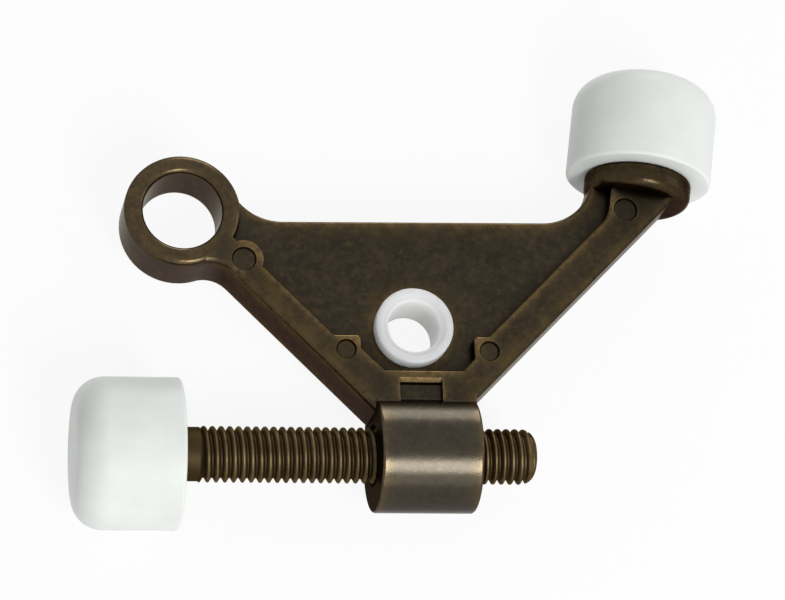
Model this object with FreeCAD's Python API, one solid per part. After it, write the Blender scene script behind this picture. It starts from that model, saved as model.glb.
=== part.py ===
import FreeCAD, Part
import math
import os

V = FreeCAD.Vector
os.makedirs("parts", exist_ok=True)

# Driving dimensions in millimetres, angles in degrees
# Hinge pin eye: centre at the origin, pin along Z
eye_bore_d = 11.4
eye_wall = 2.7
eye_thickness = 9.2
eye_edge_round = 1.0
eye_bore_round = 0.8

# Boss for the adjusting screw, which runs along X; its centre is given from the eye
boss_x = 34.3
boss_y = -35.1
boss_d = 16.4
boss_length = 14.6
boss_edge_round = 0.4
boss_mouth_chamfer = 0.5

# Arm bumper: centre of its back face from the eye, and its lean away from +Y
arm_bumper_x = 68.9
arm_bumper_y = 7.75
arm_bumper_lean = 9.0

# Web between eye, boss and arm
web_thickness = 4.6
web_top_y = -0.85
web_top_tilt = 1.0
web_edge_round = 0.5
web_eye_fillet = 8.0
web_arm_fillet = 8.0

# Ribs: the left one follows the line from eye to boss, the right one runs from boss to arm
rib_thickness = 9.0
rib_outer_round = 1.0
rib_inner_round = 0.4
rib_eye_fillet = 4.5
left_rib_outer = 1.45
left_rib_inner = 2.4
right_rib_width = 5.1
arm_outer = 4.8
arm_inner = 4.8
arm_bend_radius = 5.0

# Block above the boss, with the recess floor stepped round the bushing hole
block_height = 11.5
step_height = 5.2
step_round = 0.6
left_jog = 3.86
right_jog = 2.17
left_corner_cut = 3.3
right_corner_cut = 1.9
pocket_width = 6.2
pocket_top = 10.4
pocket_depth = 0.9
pocket_slope = 0.3
pocket_lip = 0.6
pocket_lip_drop = 0.46
pocket_shift = -0.7

# Round pads with shallow dimples on the face of the ribs
pad_d = 5.6
pad_reach = 11.25
pad_shift = 1.1
dimple_d = 3.6
jog_dimple_d = 3.0
jog_dimple_inset = 2.2
dimple_depth = 0.4
dimple_slope = 0.2
arm_dimple_drop = 3.1
arm_dimple_shift = 2.4

# Flange of the arm
flange_d = 15.9
flange_thickness = 3.5
flange_edge_round = 0.5
flange_back_round = 1.4

# Neck and head that hold a bumper, the same on the arm and on the screw
neck_d = 6.8
head_d = 10.0
head_thickness = 2.6
head_depth = 3.0
head_edge_chamfer = 0.5

# Bumper moulding
bumper_d = 21.6
bumper_length = 15.4
bumper_nose_round = 4.4
bumper_nose_rise = 0.35
bumper_back_round = 0.45

# Adjusting screw: major diameter, how far it shows on both sides of the boss, the plain collar
# behind its bumper and the ridges of its thread
screw_d = 8.0
screw_show_bumper_side = 27.85
screw_show_free_side = 8.95
screw_end_round = 2.1
collar_d = 7.7
collar_length = 3.1
thread_pitch = 1.25
thread_depth = 0.64
thread_crest = 0.25

# Bushing, kept in the hole of the web
bushing_bore_d = 7.6
bushing_mouth_chamfer = 0.9
bushing_edge_round = 0.35
bushing_x_from_boss = -1.2
bushing_ledge = 1.0

# Clearances on the radius
screw_gap = 0.06
bushing_gap = 0.04
seat_gap = 0.08


# Points and lines in the plate plane
def along(point, direction, distance):
    return point + direction * distance


def left_of(direction):
    return V(-direction.y, direction.x, 0)


def unit(vector):
    return vector * (1 / vector.Length)


def meet(point_a, direction_a, point_b, direction_b):
    cross = direction_a.x * direction_b.y - direction_a.y * direction_b.x
    gap = point_b - point_a
    return along(point_a, direction_a, (gap.x * direction_b.y - gap.y * direction_b.x) / cross)


def corner_arc(before, corner, after, radius, share):
    """Tangent arc of a rounded corner, which takes up no more than its share of both sides."""
    back = unit(before - corner)
    on = unit(after - corner)
    half_angle = back.getAngle(on) / 2
    shorter = min((before - corner).Length, (after - corner).Length)
    radius = min(radius, share * shorter * math.tan(half_angle))
    tangent = radius / math.tan(half_angle)
    centre = along(corner, unit(back + on), radius / math.sin(half_angle))
    middle = along(centre, unit(corner - centre), radius)
    return along(corner, back, tangent), middle, along(corner, on, tangent)


def rounded_stops(corners):
    """Stops of (point, radius) corners; radius 0 keeps a sharp corner."""
    stops = []
    for i, (point, radius) in enumerate(corners):
        before = corners[i - 1][0]
        after = corners[(i + 1) % len(corners)][0]
        if radius > 0:
            stops.append(corner_arc(before, point, after, radius, 0.48))
        else:
            stops.append((point, None, point))
    return stops


def outline_through(stops):
    """Closed wire through (start, middle, end) stops; a stop without a middle is a sharp corner."""
    edges = []
    for i, (start, middle, end) in enumerate(stops):
        if middle:
            edges.append(Part.Arc(start, middle, end).toShape())
        edges.append(Part.makeLine(end, stops[(i + 1) % len(stops)][0]))
    return Part.Wire(edges)


def plate(wire, thickness):
    """Plate of the given outline, centred on the plane of the object."""
    wire = wire.copy()
    wire.translate(V(0, 0, -thickness / 2))
    return Part.Face(wire).extrude(V(0, 0, thickness))


def round_rim(solid, radius, thickness, chosen):
    """Round the face edges of a plate whose middle point passes the test."""
    rim = []
    for edge in solid.Edges:
        middle = edge.valueAt((edge.FirstParameter + edge.LastParameter) / 2)
        on_face = abs(abs(edge.BoundBox.Center.z) - thickness / 2) < 1e-6
        if on_face and chosen(middle):
            rim.append(edge)
    return solid.makeFillet(radius, rim)


def turned(profile, base, direction):
    """Solid turned from (radius, height) edges, set on a base point along a direction."""
    wire = Part.Wire(profile)
    solid = Part.Face(wire).revolve(V(0, 0, 0), V(0, 0, 1), 360)
    solid.Placement = FreeCAD.Placement(base, FreeCAD.Rotation(V(0, 0, 1), direction))
    return solid


def rz(radius, height):
    return V(radius, 0, height)


def polyline(points):
    return [Part.makeLine(a, b) for a, b in zip(points, points[1:])]


X_AXIS = V(1, 0, 0)
Y_AXIS = V(0, 1, 0)
Z_AXIS = V(0, 0, 1)

# Places worked out from the sizes
eye_r = eye_bore_d / 2 + eye_wall
eye_mid_r = eye_bore_d / 2 + eye_wall / 2
eye = V(0, 0, 0)
boss = V(boss_x, boss_y, 0)
boss_left = boss_x - boss_length / 2
boss_right = boss_x + boss_length / 2

rib_run = unit(boss - eye)
rib_side = left_of(rib_run)
left_outer_point = along(eye, rib_side, -left_rib_outer)
left_inner_point = along(eye, rib_side, left_rib_inner)
left_middle = (left_outer_point + left_inner_point) * 0.5

lean = math.radians(arm_bumper_lean)
arm_run = V(math.sin(lean), math.cos(lean), 0)
arm_side = V(math.cos(lean), -math.sin(lean), 0)
arm_seat = V(arm_bumper_x, arm_bumper_y, 0)
flange_back = along(arm_seat, arm_run, -flange_thickness)
flange_middle = along(arm_seat, arm_run, -flange_thickness / 2)
arm_outer_point = along(flange_back, arm_side, arm_outer)
arm_inner_point = along(flange_back, arm_side, -arm_inner)

right_run = unit(arm_outer_point - boss)
right_side = left_of(right_run)
right_middle = along(boss, right_side, right_rib_width / 2)
right_inner_point = along(boss, right_side, right_rib_width)

bushing_r = eye_bore_d / 2 - bushing_gap
bushing_hole_r = bushing_r + bushing_gap
recess_floor_y = boss_y + block_height
bushing = V(boss_x + bushing_x_from_boss, recess_floor_y + bushing_ledge + bushing_hole_r, 0)
step_y = recess_floor_y + step_height
left_jog_start = meet(left_inner_point, rib_run, V(0, step_y, 0), X_AXIS)
right_jog_start = meet(right_inner_point, right_run, V(0, step_y, 0), X_AXIS)
step_left_x = left_jog_start.x + left_jog
step_right_x = right_jog_start.x - right_jog

screw_r = screw_d / 2
screw_seat_x = boss_left - screw_show_bumper_side
screw_end_x = boss_right + screw_show_free_side


def make_eye():
    base = V(0, 0, -eye_thickness / 2)
    ring = Part.makeCylinder(eye_r, eye_thickness, base)
    ring = ring.cut(Part.makeCylinder(eye_bore_d / 2, eye_thickness, base))
    ring = round_rim(ring, eye_edge_round, eye_thickness, lambda p: p.x ** 2 + p.y ** 2 > eye_mid_r ** 2)
    return round_rim(ring, eye_bore_round, eye_thickness, lambda p: p.x ** 2 + p.y ** 2 < eye_mid_r ** 2)


def eye_blend(point, run, side, radius):
    """Concave arc from the outside of the eye to a line, on the given side of that line."""
    arc_line = along(point, side, radius)
    reach = eye_r + radius
    offset = arc_line.dot(run)
    distance = math.sqrt(reach ** 2 - arc_line.Length ** 2 + offset ** 2) - offset
    centre = along(arc_line, run, distance)
    eye_touch = centre * (eye_r / reach)
    line_touch = along(centre, side, -radius)
    middle = along(centre, unit(eye_touch + line_touch - centre * 2), radius)
    return eye_touch, middle, line_touch


def make_web():
    tilt = math.radians(web_top_tilt)
    top_run = V(math.cos(tilt), math.sin(tilt), 0)
    top_point = V(0, web_top_y, 0)
    eye_touch, arc_middle, top_touch = eye_blend(top_point, top_run, left_of(top_run), web_eye_fillet)
    # Concave arc between the top edge and the side of the arm
    arm_end = along(arm_seat, arm_run, -flange_edge_round)
    arm_edge = along(arm_end, arm_side, -flange_d / 2 + flange_edge_round)
    top_corner = meet(top_point, top_run, arm_edge, arm_run)
    bend_start, bend_middle, bend_end = corner_arc(top_touch, top_corner, arm_edge, web_arm_fillet, 0.95)
    inside_eye = eye_touch * (eye_mid_r / eye_r)
    # The lower edges run hidden in the middle of the ribs and of the block
    block_middle = V(0, boss_y + block_height - bushing_ledge, 0)
    inside_arm = meet(right_middle, right_run, flange_middle, arm_side)
    inside_right = meet(right_middle, right_run, block_middle, X_AXIS)
    inside_left = meet(left_middle, rib_run, block_middle, X_AXIS)
    inside_rib = along(left_middle, rib_run, eye_mid_r)
    edges = [
        Part.makeLine(inside_eye, eye_touch),
        Part.Arc(eye_touch, arc_middle, top_touch).toShape(),
        Part.makeLine(top_touch, bend_start),
        Part.Arc(bend_start, bend_middle, bend_end).toShape(),
    ]
    edges += polyline([bend_end, arm_edge, inside_arm, inside_right, inside_left, inside_rib,
                       inside_eye])
    web = plate(Part.Wire(edges), web_thickness)

    def on_top_edge(p):
        above = (p - top_point).dot(left_of(top_run)) > -web_edge_round
        return above and p.x > eye_touch.x

    return round_rim(web, web_edge_round, web_thickness, on_top_edge)


def make_ribs():
    """The V of both ribs and the block between them, with the recess left open inside it."""
    outer_left = meet(left_outer_point, rib_run, V(boss_left, 0, 0), Y_AXIS)
    outer_right = meet(boss, right_run, V(boss_right, 0, 0), Y_AXIS)
    corners = [
        (along(left_inner_point, rib_run, eye_mid_r), 0),
        (outer_left, 0),
        (V(boss_left, boss_y, 0), 0),
        (V(boss_right, boss_y, 0), 0),
        (outer_right, 0),
        (meet(boss, right_run, flange_middle, arm_side), 0),
        (meet(arm_inner_point, arm_run, flange_middle, arm_side), 0),
        (meet(arm_inner_point, arm_run, right_inner_point, right_run), arm_bend_radius),
        (right_jog_start, step_round),
        (V(step_right_x, step_y, 0), step_round),
        (V(step_right_x, recess_floor_y + right_corner_cut, 0), step_round),
        (V(step_right_x - right_corner_cut, recess_floor_y, 0), step_round),
        (V(step_left_x + left_corner_cut, recess_floor_y, 0), step_round),
        (V(step_left_x, recess_floor_y + left_corner_cut, 0), step_round),
        (V(step_left_x, step_y, 0), step_round),
        (left_jog_start, step_round),
    ]
    stops = rounded_stops(corners)
    stops.insert(1, eye_blend(left_outer_point, rib_run, rib_side * -1, rib_eye_fillet))
    ribs = plate(outline_through(stops), rib_thickness)

    def on_outside(p):
        left = (p - left_outer_point).dot(rib_side) < 1e-6
        right = (p - boss).dot(right_side) < 1e-6
        return (left and p.x < boss_left - 1e-6) or (right and p.x > boss_right + 1e-6)

    def on_recess(p):
        between = (p - left_middle).dot(rib_side) > 0 and (p - right_middle).dot(right_side) > 0
        return between and (p - flange_back).dot(arm_run) < 0

    ribs = round_rim(ribs, rib_outer_round, rib_thickness, on_outside)
    ribs = round_rim(ribs, rib_inner_round, rib_thickness, on_recess)
    return ribs.cut(make_pocket())


def make_pocket():
    """Shallow pocket on the face of the block, with a sloping upper wall and a broken upper edge."""
    face_z = rib_thickness / 2
    floor_z = face_z - pocket_depth
    top_y = boss_y + pocket_top
    left = boss_x + pocket_shift - pocket_width / 2
    section = [
        V(left, boss_y, floor_z),
        V(left, top_y - pocket_lip - pocket_slope, floor_z),
        V(left, top_y - pocket_lip, face_z - pocket_lip_drop),
        V(left, top_y, face_z),
        V(left, top_y, face_z + pocket_depth),
        V(left, boss_y, face_z + pocket_depth),
        V(left, boss_y, floor_z),
    ]
    return Part.Face(Part.makePolygon(section)).extrude(X_AXIS * pocket_width)


def make_pad():
    """Round pad on the left rib, only on the recess side of the rib's middle."""
    bottom = Z_AXIS * (-rib_thickness / 2)
    place = along(along(eye, rib_run, pad_reach), rib_side, pad_shift)
    pad = Part.makeCylinder(pad_d / 2, rib_thickness, place + bottom)
    outside = Part.makeBox(pad_d, pad_d, rib_thickness)
    corner = along(along(left_middle, rib_run, pad_reach - pad_d / 2), rib_side, -pad_d)
    outside.Placement = FreeCAD.Placement(corner + bottom, FreeCAD.Rotation(X_AXIS, rib_run))
    return pad.cut(outside), place


def make_boss():
    boss_end = V(boss_left, boss_y, 0)
    solid = Part.makeCylinder(boss_d / 2, boss_length, boss_end, X_AXIS)
    ends = [edge for edge in solid.Edges if edge.Curve.TypeId == "Part::GeomCircle"]
    return solid.makeFillet(boss_edge_round, ends)


def is_circle(edge, radius, height):
    if edge.Curve.TypeId != "Part::GeomCircle":
        return False
    return abs(edge.Curve.Radius - radius) < 1e-6 and abs(edge.Curve.Center.z - height) < 1e-6


def make_flange():
    radius = flange_d / 2
    profile = polyline([
        rz(0, -flange_thickness),
        rz(radius, -flange_thickness),
        rz(radius, 0),
        rz(neck_d / 2, 0),
        rz(neck_d / 2, head_depth),
        rz(head_d / 2, head_depth),
        rz(head_d / 2, head_depth + head_thickness - head_edge_chamfer),
        rz(head_d / 2 - head_edge_chamfer, head_depth + head_thickness),
        rz(0, head_depth + head_thickness),
        rz(0, -flange_thickness),
    ])
    solid = turned(profile, V(0, 0, 0), Z_AXIS)
    for height, rounding in ((0, flange_edge_round), (-flange_thickness, flange_back_round)):
        rim = [edge for edge in solid.Edges if is_circle(edge, radius, height)]
        solid = solid.makeFillet(rounding, rim)
    solid.Placement = FreeCAD.Placement(arm_seat, FreeCAD.Rotation(Z_AXIS, arm_run))
    return solid


def chamfered_hole(radius, length, chamfer, base, direction):
    """Cutter for a through hole with a chamfer at both mouths."""
    half = length / 2
    profile = polyline([
        rz(0, -half - chamfer),
        rz(radius + 2 * chamfer, -half - chamfer),
        rz(radius, -half + chamfer),
        rz(radius, half - chamfer),
        rz(radius + 2 * chamfer, half + chamfer),
        rz(0, half + chamfer),
        rz(0, -half - chamfer),
    ])
    return turned(profile, base, direction)


def make_cast_body():
    pad, pad_place = make_pad()
    arm_place = along(along(flange_back, arm_run, -arm_dimple_drop), arm_side, -arm_dimple_shift)
    jog_y = step_y - jog_dimple_inset
    dimples = [
        (pad_place, dimple_d),
        (arm_place, dimple_d),
        (V(step_left_x - jog_dimple_inset, jog_y, 0), jog_dimple_d),
        (V(step_right_x + jog_dimple_inset, jog_y, 0), jog_dimple_d),
    ]
    body = make_eye().fuse([make_web(), make_ribs(), pad, make_boss(), make_flange()])
    cutters = [
        chamfered_hole(screw_r + screw_gap, boss_length, boss_mouth_chamfer, boss, X_AXIS),
        Part.makeCylinder(bushing_hole_r, web_thickness, bushing - Z_AXIS * (web_thickness / 2)),
    ]
    for place, diameter in dimples:
        floor = place + Z_AXIS * (rib_thickness / 2 - dimple_depth)
        cutters.append(Part.makeCone(diameter / 2 - dimple_slope, diameter / 2, dimple_depth, floor))
    return body.cut(cutters).removeSplitter()


def make_bumper(seat, direction):
    """Rubber bumper: low domed nose, round shoulder, and the undercut socket for neck and head."""
    radius = bumper_d / 2
    flat_r = radius - bumper_nose_round
    shoulder = bumper_length - bumper_nose_rise - bumper_nose_round
    turn = math.sqrt(0.5)
    back = bumper_back_round
    neck_r = neck_d / 2 + seat_gap
    head_r = head_d / 2 + seat_gap
    head_start = head_depth - seat_gap
    head_end = head_depth + head_thickness + seat_gap
    profile = polyline([
        rz(0, bumper_length),
        rz(0, head_end),
        rz(head_r, head_end),
        rz(head_r, head_start),
        rz(neck_r, head_start),
        rz(neck_r, 0),
        rz(radius - back, 0),
    ])
    profile.append(Part.Arc(rz(radius - back, 0),
                            rz(radius - back + back * turn, back - back * turn),
                            rz(radius, back)).toShape())
    profile.append(Part.makeLine(rz(radius, back), rz(radius, shoulder)))
    profile.append(Part.Arc(rz(radius, shoulder),
                            rz(flat_r + bumper_nose_round * turn, shoulder + bumper_nose_round * turn),
                            rz(flat_r, shoulder + bumper_nose_round)).toShape())
    dome_r = (flat_r ** 2 + bumper_nose_rise ** 2) / (2 * bumper_nose_rise)
    half_turn = math.asin(flat_r / dome_r) / 2
    dome_drop = dome_r * (1 - math.cos(half_turn))
    profile.append(Part.Arc(rz(flat_r, bumper_length - bumper_nose_rise),
                            rz(dome_r * math.sin(half_turn), bumper_length - dome_drop),
                            rz(0, bumper_length)).toShape())
    return turned(profile, seat, direction)


def make_thread(start, end):
    """Points of the ridges of the thread, at its pitch, between two places on the shank."""
    root_r = screw_r - thread_depth
    flank = (thread_pitch - thread_crest) / 2
    count = math.floor((end - start) / thread_pitch)
    points = []
    for i in range(count):
        crest = start + i * thread_pitch
        points += [
            rz(screw_r, crest),
            rz(screw_r, crest + thread_crest),
            rz(root_r, crest + thread_crest + flank),
        ]
    return points + [rz(screw_r, start + count * thread_pitch)]


def make_screw():
    """Turned screw: head, neck, plain collar, shank with the ridges of its thread, round free end."""
    end = screw_end_x - screw_seat_x
    neck_r = neck_d / 2
    turn = math.sqrt(0.5)
    profile = polyline([
        rz(0, -head_depth - head_thickness),
        rz(head_d / 2 - head_edge_chamfer, -head_depth - head_thickness),
        rz(head_d / 2, -head_depth - head_thickness + head_edge_chamfer),
        rz(head_d / 2, -head_depth),
        rz(neck_r, -head_depth),
        rz(neck_r, seat_gap),
        rz(collar_d / 2, seat_gap),
        rz(collar_d / 2, collar_length),
        *make_thread(collar_length, end - screw_end_round),
        rz(screw_r, end - screw_end_round),
    ])
    profile.append(Part.Arc(rz(screw_r, end - screw_end_round),
                            rz(screw_r - screw_end_round * (1 - turn), end - screw_end_round * (1 - turn)),
                            rz(screw_r - screw_end_round, end)).toShape())
    profile += polyline([rz(screw_r - screw_end_round, end), rz(0, end),
                         rz(0, -head_depth - head_thickness)])
    return turned(profile, V(screw_seat_x, boss_y, 0), X_AXIS)


def make_bushing():
    sleeve = Part.makeCylinder(bushing_r, eye_thickness, bushing - Z_AXIS * (eye_thickness / 2))
    sleeve = round_rim(sleeve, bushing_edge_round, eye_thickness, lambda p: True)
    bore = chamfered_hole(bushing_bore_d / 2, eye_thickness, bushing_mouth_chamfer, bushing, Z_AXIS)
    return sleeve.cut(bore)


nodes = {
    "cast_body": make_cast_body(),
    "adjusting_screw": make_screw(),
    "screw_bumper": make_bumper(V(screw_seat_x, boss_y, 0), -X_AXIS),
    "arm_bumper": make_bumper(arm_seat, arm_run),
    "pin_bushing": make_bushing(),
}
for name, shape in nodes.items():
    shape.exportStep(f"parts/{name}.step")
    box = shape.BoundBox
    print(name, "solids", len(shape.Solids), "valid", shape.isValid(), "volume", round(shape.Volume, 1),
          "size", round(box.XLength, 2), round(box.YLength, 2), round(box.ZLength, 2))
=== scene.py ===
import math

import bpy
from mathutils import Matrix, Vector


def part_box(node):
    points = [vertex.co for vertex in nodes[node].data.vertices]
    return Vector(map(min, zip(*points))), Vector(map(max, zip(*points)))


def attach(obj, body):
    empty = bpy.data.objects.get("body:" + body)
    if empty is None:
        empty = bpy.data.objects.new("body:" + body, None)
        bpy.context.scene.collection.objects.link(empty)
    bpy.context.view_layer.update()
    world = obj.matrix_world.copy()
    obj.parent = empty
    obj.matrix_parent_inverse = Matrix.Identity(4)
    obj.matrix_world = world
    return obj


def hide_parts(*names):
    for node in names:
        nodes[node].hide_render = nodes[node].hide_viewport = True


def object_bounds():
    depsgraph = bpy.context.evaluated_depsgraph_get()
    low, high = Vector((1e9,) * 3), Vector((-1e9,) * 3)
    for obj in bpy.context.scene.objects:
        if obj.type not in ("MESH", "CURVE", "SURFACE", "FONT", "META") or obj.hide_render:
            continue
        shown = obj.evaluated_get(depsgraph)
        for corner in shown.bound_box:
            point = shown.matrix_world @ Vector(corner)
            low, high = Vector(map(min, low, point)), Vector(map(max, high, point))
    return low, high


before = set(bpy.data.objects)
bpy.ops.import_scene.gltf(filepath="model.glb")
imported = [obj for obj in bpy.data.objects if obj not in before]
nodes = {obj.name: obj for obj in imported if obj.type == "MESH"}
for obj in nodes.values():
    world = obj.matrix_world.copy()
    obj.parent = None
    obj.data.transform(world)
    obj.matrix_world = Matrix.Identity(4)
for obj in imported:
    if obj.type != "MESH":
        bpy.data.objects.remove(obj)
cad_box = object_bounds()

MM = 0.001


def srgb(red, green, blue):
    """Linear colour with alpha from 0-255 screen values."""
    def linear(value):
        value /= 255
        return value / 12.92 if value <= 0.04045 else ((value + 0.055) / 1.055) ** 2.4
    return (linear(red), linear(green), linear(blue), 1.0)


# Thread of the adjusting screw, in millimetres, and the steps of one turn
THREAD_PITCH = 1.25
THREAD_CREST = 4.0
THREAD_ROOT = 3.36
THREAD_STEPS = 40
# One turn of the thread: share of the pitch, and share of the depth
THREAD_PROFILE = [(0.0, 0.0), (0.08, 0.0), (0.34, 0.86), (0.42, 1.0),
                  (0.58, 1.0), (0.66, 0.86), (0.92, 0.0), (1.0, 0.0)]

# Blank of the adjusting screw, in millimetres from the seat of its bumper
HEAD_RADIUS = 5.0
HEAD_THICKNESS = 2.6
HEAD_DEPTH = 3.0
HEAD_CHAMFER = 0.5
NECK_RADIUS = 3.4
COLLAR_RADIUS = 3.85
COLLAR_START = 0.08
COLLAR_END = 2.8
END_ROUND = 2.1
# Steps of the round free end, and of a full turn of a turned shape
END_ROUND_STEPS = 10
TURNED_STEPS = 64

# Trimming of the swept thread, in millimetres: how far the cut stays off the crests and inside the collar,
# the run past the collar in which it widens, and the run before the round end in which it narrows
TRIM_CLEARANCE = 0.05
TRIM_WIDEN = 0.1
TRIM_NARROW = 0.2
# How far the core reaches into the thread, and how far below the roots it ends, in millimetres
CORE_REACH = 1.0
CORE_DROP = 0.4

# Distances in metres at which points are merged: on turned shapes, on the thread, on the whole screw
MERGE_TURNED = 1e-7
MERGE_THREAD = 1e-6
MERGE_SCREW = 2e-6
# Edges up to this angle are shaded smooth
SMOOTH_ANGLE = math.radians(38)

# Casting, in metres: the boss round the screw, and the eye round the origin
BOSS_CENTRE = Vector((34.3, -35.1, 0.0)) * MM
BOSS_RADIUS = 8.2 * MM
BOSS_LENGTH = 14.6 * MM
EYE_RADIUS = 8.4 * MM
# Distances from the middle of the arm's bumper between which the painted shade on the arm fades out
ARM_SHADE_FULL = 13.0 * MM
ARM_SHADE_NONE = 24.0 * MM
# Radii on the bushing between which the painted light in its bore turns into its outside colour
BORE_LIGHT_END = 3.85 * MM
OUTSIDE_COLOUR_START = 4.3 * MM

# Colours of the casting
PLATE_DARK = srgb(46, 41, 31)
PLATE_LIGHT = srgb(53, 47, 36)
FLECK_LIGHT = srgb(76, 61, 42)
FLECK_DARK = srgb(33, 29, 22)
RUBBED_RIB = srgb(85, 69, 38)
BROWN_EYE = srgb(44, 33, 17)
# Painted shade on the arm by its bumper
ARM_PAINTED_SHADE = srgb(27, 22, 13)
WORN_EDGE = srgb(128, 104, 68)
SMOOTH_BOSS = srgb(44, 38, 25)
# Painted shade, laid where nearby faces and other parts hide the casting from the sky
PAINTED_SHADE_PLATE = srgb(24, 20, 13)
# Grime and painted shade: darker colour in creases and where other parts come close
CREVICE_GRIME_AND_SHADE = srgb(22, 19, 13)
# Painted shade on the boss's ends and in its bore
PAINTED_SHADE_BOSS_END = srgb(20, 16, 10)
BRONZE_TINT = (0.42, 0.38, 0.32, 1.0)
# Rays that look for the corners and edges of the casting
CORNER_SAMPLES = 8

# Colours of the screw
ROOT_DARK = srgb(52, 43, 28)
ROOT_LIGHT = srgb(69, 57, 38)
CREST_DARK = srgb(84, 70, 47)
CREST_LIGHT = srgb(108, 92, 65)
SCREW_TINT = (0.5, 0.46, 0.38, 1.0)

# Colours of the rubber and the nylon
RUBBER_DULL = srgb(227, 230, 226)
RUBBER_WHITE = srgb(234, 238, 234)
RUBBER_SPECK = srgb(210, 213, 206)
NYLON_DULL = srgb(214, 215, 218)
NYLON_WHITE = srgb(224, 225, 227)
# Painted light: near-white colour in the bore of the bushing
NYLON_PAINTED_LIGHT = srgb(251, 251, 248)

# Studio: size and colour of the floor, the share of plain white in what is seen of it, and the strength
# of the world as a light
WHITE = (1.0, 1.0, 1.0, 1.0)
FLOOR_SIZE = 6.0
FLOOR_COLOUR = (0.9, 0.9, 0.9, 1.0)
FLOOR_WHITE_SHARE = 0.9
WORLD_LIGHT = 0.43

# Lamps: the point they face and their distance from it, then direction, width, height and power of each
LAMP_TARGET = Vector((0.033, -0.012, 0.0))
LAMP_DISTANCE = 0.60
LAMPS = {
    "key_softbox": ((0.22, -0.60, 0.77), 0.14, 0.24, 1.85),
    "front_softbox": ((0.05, -0.90, 0.38), 0.42, 0.18, 0.3),
    "top_softbox": ((0.22, 0.95, 0.20), 0.26, 0.30, 1.1),
    "side_softbox": ((0.93, 0.10, 0.36), 0.30, 0.30, 0.35),
}

# Camera: focal length in pixels of the picture, directions in the frame of the part, and place from the
# middle of the boss along the camera's own right, up and back
PICTURE_WIDTH = 785
FOCAL_PIXELS = 3248.5
SENSOR_WIDTH = 36.0
CLIP_NEAR = 0.01
CLIP_FAR = 20.0
CAMERA_RIGHT = Vector((0.9826, -0.0424, 0.1811))
CAMERA_UP = Vector((-0.0179, 0.9475, 0.3193))
CAMERA_OFFSET = Vector((-4.38, 22.33, 464.55)) * MM


class Sock:
    """A shader socket; arithmetic on it adds Math nodes to its finish."""

    def __init__(self, finish, socket):
        self.finish = finish
        self.socket = socket

    def math(self, operation, *values):
        return self.finish.node("ShaderNodeMath", {"operation": operation}, dict(enumerate(values)))

    def __add__(self, other):
        return self.math("ADD", self, other)

    def __radd__(self, other):
        return self.math("ADD", other, self)

    def __sub__(self, other):
        return self.math("SUBTRACT", self, other)

    def __rsub__(self, other):
        return self.math("SUBTRACT", other, self)

    def __mul__(self, other):
        return self.math("MULTIPLY", self, other)

    def __rmul__(self, other):
        return self.math("MULTIPLY", other, self)

    def __pow__(self, other):
        return self.math("POWER", self, other)

    def smaller(self, other):
        return self.math("MINIMUM", self, other)

    def beside(self, name):
        """Another output of the same node."""
        return Sock(self.finish, self.socket.node.outputs[name])

    def rise(self, low, high):
        """0 below low, 1 above high, and a smooth step between."""
        return self.finish.node(
            "ShaderNodeMapRange", {"interpolation_type": "SMOOTHSTEP"},
            {"Value": self, "From Min": low, "From Max": high, "To Min": 0.0, "To Max": 1.0})

    def within(self, low, high, fade):
        """1 from low to high, and 0 further than fade outside."""
        return self.rise(low - fade, low) * (1 - self.rise(high, high + fade))


class Finish:
    """Node tree of one finish."""

    def __init__(self, owner):
        owner.use_nodes = True
        self.owner = owner
        self.tree = owner.node_tree
        self.tree.nodes.clear()

    def node(self, kind, settings=None, sockets=None, output=0):
        made = self.tree.nodes.new(kind)
        for name, value in (settings or {}).items():
            setattr(made, name, value)
        for name, value in (sockets or {}).items():
            if isinstance(value, Sock):
                self.tree.links.new(value.socket, made.inputs[name])
            else:
                made.inputs[name].default_value = value
        return Sock(self, made.outputs[output]) if made.outputs else None

    def place(self):
        return self.node("ShaderNodeTexCoord", output="Object")

    def split(self, place):
        """The three coordinates of a place."""
        x = self.node("ShaderNodeSeparateXYZ", None, {"Vector": place})
        return x, x.beside("Y"), x.beside("Z")

    def noise(self, place, scale, detail, roughness, distortion=0.0):
        return self.node("ShaderNodeTexNoise", None, {
            "Vector": place, "Scale": scale, "Detail": detail,
            "Roughness": roughness, "Distortion": distortion})

    def hidden(self, distance, **settings):
        """0 on open faces, rising in corners, or with the setting inside, on edges and thin ribs."""
        return 1 - self.node("ShaderNodeAmbientOcclusion", {"samples": CORNER_SAMPLES, **settings},
                             {"Distance": distance}, output="AO")

    def seen(self):
        """1 for what the camera sees, straight, mirrored or through a surface, and 0 for other light."""
        camera = self.node("ShaderNodeLightPath", output="Is Camera Ray")
        return (camera + camera.beside("Is Glossy Ray") + camera.beside("Is Transmission Ray")).smaller(1.0)

    def mix(self, factor, first, second):
        return self.node("ShaderNodeMix", {"data_type": "RGBA"}, {0: factor, 6: first, 7: second}, output=2)

    def paint(self, colour, *layers):
        """Lay colours over one another, each with its cover."""
        for cover, tone in layers:
            colour = self.mix(cover, colour, tone)
        return colour

    def bump(self, height, strength, distance):
        return self.node("ShaderNodeBump", None, {
            "Height": height, "Strength": strength, "Distance": distance})

    def surface(self, **sockets):
        shader = self.node("ShaderNodeBsdfPrincipled", None,
                           {name.replace("_", " "): value for name, value in sockets.items()})
        self.node("ShaderNodeOutputMaterial", None, {"Surface": shader})
        return self.owner


def from_axis(first, second):
    """Distance from an axis, from the two offsets across it."""
    return (first * first + second * second) ** 0.5


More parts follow.
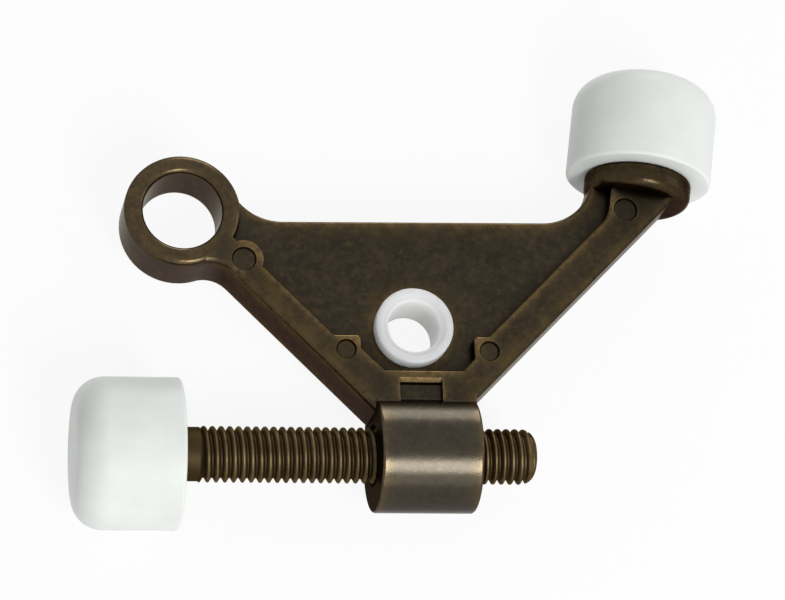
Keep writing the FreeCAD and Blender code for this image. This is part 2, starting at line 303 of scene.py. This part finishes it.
def antique_bronze(axis_y, boss_left, boss_right, arm_end):
    """Dark plated casting, rubbed warmer on ribs and edges, smooth on boss and eye, with grime and painted
    shade in corners.
    """
    finish = Finish(bpy.data.materials.new("antique_bronze"))
    place = finish.place()
    cloud = finish.noise(place, scale=240, detail=3, roughness=0.55)
    fleck = finish.noise(place, scale=1100, detail=3, roughness=0.65)
    grain = finish.noise(place, scale=2600, detail=2, roughness=0.6)
    patch = finish.noise(place, scale=380, detail=3, roughness=0.6, distortion=0.6)

    # The boss is smooth on its round face, and painted shade darkens its ends and its bore
    x, y, z = finish.split(place)
    radius = from_axis(y - axis_y, z)
    boss = 1 - radius.rise(BOSS_RADIUS + 0.05 * MM, BOSS_RADIUS + 0.25 * MM)
    boss = boss * x.within(boss_left - 0.05 * MM, boss_right + 0.05 * MM, fade=0.1 * MM)
    between_ends = x.within(boss_left + 0.15 * MM, boss_right - 0.15 * MM, fade=0.15 * MM)
    smooth = boss * between_ends * radius.rise(BOSS_RADIUS - 0.7 * MM, BOSS_RADIUS - 0.5 * MM)
    shaded_boss_end = boss - smooth

    eye = 1 - from_axis(x, y).rise(EYE_RADIUS, EYE_RADIUS + 2.5 * MM)
    # Painted shade on the arm, fading with distance from its bumper
    from_arm_end = finish.node("ShaderNodeVectorMath", {"operation": "DISTANCE"},
                               {0: place, 1: arm_end}, output="Value")
    arm_shade = 1 - from_arm_end.rise(ARM_SHADE_FULL, ARM_SHADE_NONE)

    edge = finish.hidden(2 * MM, inside=True, only_local=True)
    rib_top = finish.hidden(4 * MM, inside=True, only_local=True)
    # Painted shade: darker colour where nearby faces and other parts hide the sky
    painted_shade = finish.hidden(7 * MM)
    # Grime and painted shade in creases and between parts
    crevice_grime_and_shade = finish.hidden(3 * MM)
    worn = edge.rise(0.14, 0.58) * (0.35 + 0.65 * fleck.rise(0.3, 0.6))
    rubbed = rib_top.rise(0.08, 0.4) * (0.2 + 0.8 * patch.rise(0.36, 0.64))

    colour = finish.paint(
        finish.mix(cloud.rise(0.35, 0.65), PLATE_DARK, PLATE_LIGHT),
        (0.55 * fleck.rise(0.48, 0.72), FLECK_LIGHT),
        (0.5 - 0.5 * fleck.rise(0.28, 0.48), FLECK_DARK),
        (0.55 * rubbed, RUBBED_RIB),
        (0.3 * eye, BROWN_EYE),
        (0.5 * arm_shade, ARM_PAINTED_SHADE),
        (0.7 * worn, WORN_EDGE),
        (0.4 * smooth, SMOOTH_BOSS),
        (0.5 * painted_shade.rise(0.14, 0.6), PAINTED_SHADE_PLATE),
        (0.5 * crevice_grime_and_shade.rise(0.15, 0.7), CREVICE_GRIME_AND_SHADE),
        (0.85 * shaded_boss_end, PAINTED_SHADE_BOSS_END))
    roughness = 0.20 + 0.10 * cloud - 0.05 * worn + 0.06 * grain + 0.25 * shaded_boss_end
    lacquer = 0.08 + 0.14 * eye + 0.36 * smooth - 0.08 * shaded_boss_end
    skin = finish.bump(grain + 1.6 * fleck + 2.0 * cloud, strength=0.16, distance=0.08 * MM)
    return finish.surface(Base_Color=colour, Metallic=1.0, Roughness=roughness, Normal=skin,
                          Specular_Tint=BRONZE_TINT, Coat_Weight=lacquer, Coat_Roughness=0.25)


def antique_screw(axis_y, thread_start, end):
    """Plated screw: brassy rubbed crests and free end over dark roots and a dark collar."""
    finish = Finish(bpy.data.materials.new("antique_screw"))
    place = finish.place()
    cloud = finish.noise(place, scale=260, detail=3, roughness=0.6)
    grain = finish.noise(place, scale=2400, detail=2, roughness=0.6)
    x, y, z = finish.split(place)
    radius = from_axis(y - axis_y, z)
    threaded = x.rise(thread_start - 0.3 * MM, thread_start + 1.5 * MM)
    tip = x.rise(end - 2.6 * MM, end - 1.2 * MM)
    crest = (radius.rise((THREAD_ROOT + 0.02) * MM, THREAD_CREST * MM) * threaded + tip).smaller(1.0)
    dark = finish.mix(cloud, ROOT_DARK, ROOT_LIGHT)
    brass = finish.mix(cloud.rise(0.3, 0.7), CREST_DARK, CREST_LIGHT)
    colour = finish.mix(crest * (0.72 + 0.28 * cloud), dark, brass)
    roughness = 0.5 - 0.04 * crest + 0.1 * grain
    skin = finish.bump(grain + cloud, strength=0.25, distance=0.06 * MM)
    return finish.surface(Base_Color=colour, Metallic=1.0, Roughness=roughness, Normal=skin,
                          Specular_Tint=SCREW_TINT)


def white_rubber():
    """Off-white moulded rubber, a little see-through, with faint handling marks."""
    finish = Finish(bpy.data.materials.new("white_rubber"))
    place = finish.place()
    cloud = finish.noise(place, scale=120, detail=3, roughness=0.5)
    speck = finish.noise(place, scale=1500, detail=2, roughness=0.5)
    colour = finish.mix(cloud.rise(0.35, 0.7), RUBBER_DULL, RUBBER_WHITE)
    colour = finish.mix(0.25 * speck.rise(0.66, 0.8), colour, RUBBER_SPECK)
    roughness = 0.46 + 0.12 * cloud
    skin = finish.bump(speck + 3 * cloud, strength=0.15, distance=0.1 * MM)
    return finish.surface(Base_Color=colour, Roughness=roughness, Normal=skin, Subsurface_Weight=0.25,
                          Subsurface_Radius=(1.0, 1.0, 0.9), Subsurface_Scale=1.5 * MM)


def white_nylon(axis):
    """White moulded nylon with a soft shine, with painted light making its bore brighter than its outside.
    """
    finish = Finish(bpy.data.materials.new("white_nylon"))
    place = finish.place()
    cloud = finish.noise(place, scale=200, detail=3, roughness=0.5)
    grain = finish.noise(place, scale=2000, detail=2, roughness=0.5)
    x, y, _ = finish.split(place)
    outside = from_axis(x - axis.x, y - axis.y).rise(BORE_LIGHT_END, OUTSIDE_COLOUR_START)
    outside_tone = finish.mix(cloud.rise(0.3, 0.7), NYLON_DULL, NYLON_WHITE)
    # Painted light: the bore is coloured near white
    colour = finish.mix(outside, NYLON_PAINTED_LIGHT, outside_tone)
    roughness = 0.34 + 0.1 * grain
    skin = finish.bump(grain + 2 * cloud, strength=0.12, distance=0.06 * MM)
    return finish.surface(Base_Color=colour, Roughness=roughness, Normal=skin, Subsurface_Weight=1.0,
                          Subsurface_Radius=(1.0, 1.0, 1.0), Subsurface_Scale=6 * MM)


def coat(piece, material):
    piece.data.materials.clear()
    piece.data.materials.append(material)


def start_piece(name, place):
    """New object of one vertex at its own origin, open in edit mode."""
    bpy.ops.object.select_all(action="DESELECT")
    bpy.ops.mesh.primitive_plane_add(size=MM, location=place)
    piece = bpy.context.object
    piece.name = name
    bpy.ops.object.mode_set(mode="EDIT")
    bpy.ops.mesh.select_mode(type="VERT")
    bpy.ops.mesh.select_all(action="SELECT")
    bpy.ops.mesh.merge(type="CENTER")
    return piece


def draw_line(points):
    """Draw from the one vertex through (along X, out along Y) points in millimetres."""
    at = Vector((0, 0, 0))
    for i, (run, out) in enumerate(points):
        target = Vector((run, out, 0)) * MM
        if i == 0:
            bpy.ops.transform.translate(value=target)
        else:
            bpy.ops.mesh.extrude_region_move(TRANSFORM_OT_translate={"value": target - at})
        at = target


def close_up(merge):
    """In edit mode, merge the doubles of a mesh and turn its faces outwards."""
    bpy.ops.mesh.select_all(action="SELECT")
    bpy.ops.mesh.remove_doubles(threshold=merge)
    bpy.ops.mesh.normals_make_consistent(inside=False)


def apply_modifier(piece, modifier):
    bpy.context.view_layer.objects.active = piece
    bpy.ops.object.modifier_apply(modifier=modifier.name)


def turned(name, place, points):
    """Solid of revolution about X from (along, radius) points that start and end on the axis."""
    piece = start_piece(name, place)
    draw_line(points)
    bpy.ops.mesh.select_all(action="SELECT")
    bpy.ops.mesh.spin(steps=TURNED_STEPS, angle=2 * math.pi, center=place, axis=(1, 0, 0))
    close_up(MERGE_TURNED)
    bpy.ops.object.mode_set(mode="OBJECT")
    return piece


def combine(piece, other, operation):
    """Boolean with another object, which is used up."""
    modifier = piece.modifiers.new(operation.lower(), "BOOLEAN")
    modifier.operation = operation
    modifier.solver = "EXACT"
    modifier.object = other
    apply_modifier(piece, modifier)
    bpy.data.objects.remove(other)


def settle(piece):
    """Put the place of a piece into its mesh and shade its round faces smooth."""
    bpy.ops.object.select_all(action="DESELECT")
    piece.select_set(True)
    bpy.context.view_layer.objects.active = piece
    bpy.ops.object.transform_apply(location=True, rotation=True, scale=True)
    bpy.ops.object.shade_smooth_by_angle(angle=SMOOTH_ANGLE)


def round_end(length):
    """Points of the screw's round free end, from its side to its face."""
    points = []
    for i in range(END_ROUND_STEPS + 1):
        angle = math.radians(90 - 90 * i / END_ROUND_STEPS)
        points.append((length - END_ROUND + END_ROUND * math.cos(angle),
                       THREAD_CREST - END_ROUND + END_ROUND * math.sin(angle)))
    return points


def sweep_thread(seat, length):
    """Closed helix of the thread, two turns too long at both ends."""
    lead = 2 * THREAD_PITCH
    depth = THREAD_CREST - THREAD_ROOT
    piece = start_piece("threaded_screw", seat)
    draw_line([(COLLAR_END - lead + THREAD_PITCH * run, THREAD_ROOT + depth * out)
               for run, out in THREAD_PROFILE])
    bpy.ops.object.mode_set(mode="OBJECT")
    sweep = piece.modifiers.new("thread", "SCREW")
    sweep.axis = "X"
    sweep.angle = 2 * math.pi
    sweep.screw_offset = THREAD_PITCH * MM
    sweep.iterations = math.ceil((length - COLLAR_END + 2 * lead) / THREAD_PITCH)
    sweep.steps = THREAD_STEPS
    sweep.render_steps = THREAD_STEPS
    sweep.use_merge_vertices = True
    sweep.merge_threshold = MERGE_THREAD
    apply_modifier(piece, sweep)

    # Close both ends
    bpy.ops.object.mode_set(mode="EDIT")
    bpy.ops.mesh.select_all(action="SELECT")
    bpy.ops.mesh.remove_doubles(threshold=MERGE_THREAD)
    bpy.ops.mesh.select_all(action="DESELECT")
    bpy.ops.mesh.select_non_manifold()
    bpy.ops.mesh.edge_face_add()
    close_up(MERGE_THREAD)
    bpy.ops.object.mode_set(mode="OBJECT")
    return piece


def make_threaded_screw():
    """Screw with the true helix of its thread, where the solid screw is."""
    low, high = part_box("adjusting_screw")
    seat_x = low.x / MM + HEAD_THICKNESS + HEAD_DEPTH
    length = high.x / MM - seat_x
    seat = Vector((seat_x * MM, (low.y + high.y) / 2, (low.z + high.z) / 2))
    piece = sweep_thread(seat, length)

    # Trim the thread to the collar and to the round free end
    start = COLLAR_END - (THREAD_CREST - COLLAR_RADIUS)
    off_crest = THREAD_CREST + TRIM_CLEARANCE
    shank = [(start, 0), (start, COLLAR_RADIUS - TRIM_CLEARANCE), (COLLAR_END + TRIM_WIDEN, off_crest),
             (length - END_ROUND - TRIM_NARROW, off_crest), *round_end(length), (length, 0)]
    combine(piece, turned("shank", seat, shank), "INTERSECT")

    # Head, neck and collar
    back = -HEAD_DEPTH - HEAD_THICKNESS
    core_end = COLLAR_END + CORE_REACH
    core = [(back, 0), (back, HEAD_RADIUS - HEAD_CHAMFER), (back + HEAD_CHAMFER, HEAD_RADIUS),
            (-HEAD_DEPTH, HEAD_RADIUS), (-HEAD_DEPTH, NECK_RADIUS), (COLLAR_START, NECK_RADIUS),
            (COLLAR_START, COLLAR_RADIUS), (COLLAR_END, COLLAR_RADIUS),
            (core_end, THREAD_ROOT - CORE_DROP), (core_end, 0)]
    combine(piece, turned("core", seat, core), "UNION")

    bpy.ops.object.mode_set(mode="EDIT")
    close_up(MERGE_SCREW)
    bpy.ops.mesh.dissolve_degenerate(threshold=MERGE_THREAD)
    bpy.ops.object.mode_set(mode="OBJECT")
    settle(piece)
    return piece


def studio_floor(height):
    bpy.ops.object.select_all(action="DESELECT")
    bpy.ops.mesh.primitive_plane_add(size=FLOOR_SIZE, location=(0, 0, height))
    floor = bpy.context.object
    floor.name = "floor"
    finish = Finish(bpy.data.materials.new("floor_white"))
    lit = finish.node("ShaderNodeBsdfDiffuse", None, {"Color": FLOOR_COLOUR})
    white = finish.node("ShaderNodeEmission", None, {"Color": WHITE, "Strength": 1.0})
    shown = finish.node("ShaderNodeMixShader", None,
                        {0: FLOOR_WHITE_SHARE * finish.seen(), 1: lit, 2: white})
    finish.node("ShaderNodeOutputMaterial", None, {"Surface": shown})
    coat(floor, finish.owner)


def studio_world():
    world = bpy.data.worlds.new("studio")
    bpy.context.scene.world = world
    finish = Finish(world)
    strength = WORLD_LIGHT + (1 - WORLD_LIGHT) * finish.seen()
    background = finish.node("ShaderNodeBackground", None, {"Color": WHITE, "Strength": strength})
    finish.node("ShaderNodeOutputWorld", None, {"Surface": background})


def softbox(name, direction, width, height, power):
    light = bpy.data.lights.new(name, "AREA")
    light.shape = "RECTANGLE"
    light.size = width
    light.size_y = height
    light.energy = power
    lamp = bpy.data.objects.new(name, light)
    bpy.context.scene.collection.objects.link(lamp)
    back = Vector(direction).normalized()
    lamp.location = LAMP_TARGET + back * LAMP_DISTANCE
    lamp.rotation_euler = back.to_track_quat("Z", "Y").to_euler()


def photo_camera():
    lens = bpy.data.cameras.new("camera")
    lens.sensor_fit = "HORIZONTAL"
    lens.sensor_width = SENSOR_WIDTH
    lens.lens = FOCAL_PIXELS / PICTURE_WIDTH * SENSOR_WIDTH
    lens.clip_start = CLIP_NEAR
    lens.clip_end = CLIP_FAR
    camera = bpy.data.objects.new("camera", lens)
    bpy.context.scene.collection.objects.link(camera)
    up = CAMERA_UP.normalized()
    back = CAMERA_RIGHT.cross(up).normalized()
    right = up.cross(back)
    place = BOSS_CENTRE + right * CAMERA_OFFSET.x + up * CAMERA_OFFSET.y + back * CAMERA_OFFSET.z
    turn = Matrix((right, up, back)).transposed().to_4x4()
    camera.matrix_world = Matrix.Translation(place) @ turn
    bpy.context.scene.camera = camera


screw_low, screw_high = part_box("adjusting_screw")
thread_start = screw_low.x + (HEAD_THICKNESS + HEAD_DEPTH + COLLAR_END) * MM
screw = make_threaded_screw()
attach(screw, "screw")
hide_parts("adjusting_screw")
coat(screw, antique_screw(BOSS_CENTRE.y, thread_start, screw_high.x))

boss_left = BOSS_CENTRE.x - BOSS_LENGTH / 2
boss_right = BOSS_CENTRE.x + BOSS_LENGTH / 2
bumper_low, bumper_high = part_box("arm_bumper")
arm_end = (bumper_low + bumper_high) / 2
coat(nodes["cast_body"], antique_bronze(BOSS_CENTRE.y, boss_left, boss_right, arm_end))
rubber = white_rubber()
coat(nodes["screw_bumper"], rubber)
coat(nodes["arm_bumper"], rubber)
bushing_low, bushing_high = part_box("pin_bushing")
coat(nodes["pin_bushing"], white_nylon((bushing_low + bushing_high) / 2))

floor_height = cad_box[0][2]
studio_floor(floor_height)
studio_world()
for name, (direction, width, height, power) in LAMPS.items():
    softbox(name, direction, width, height, power)
photo_camera()
bpy.context.scene.view_settings.view_transform = "Standard"
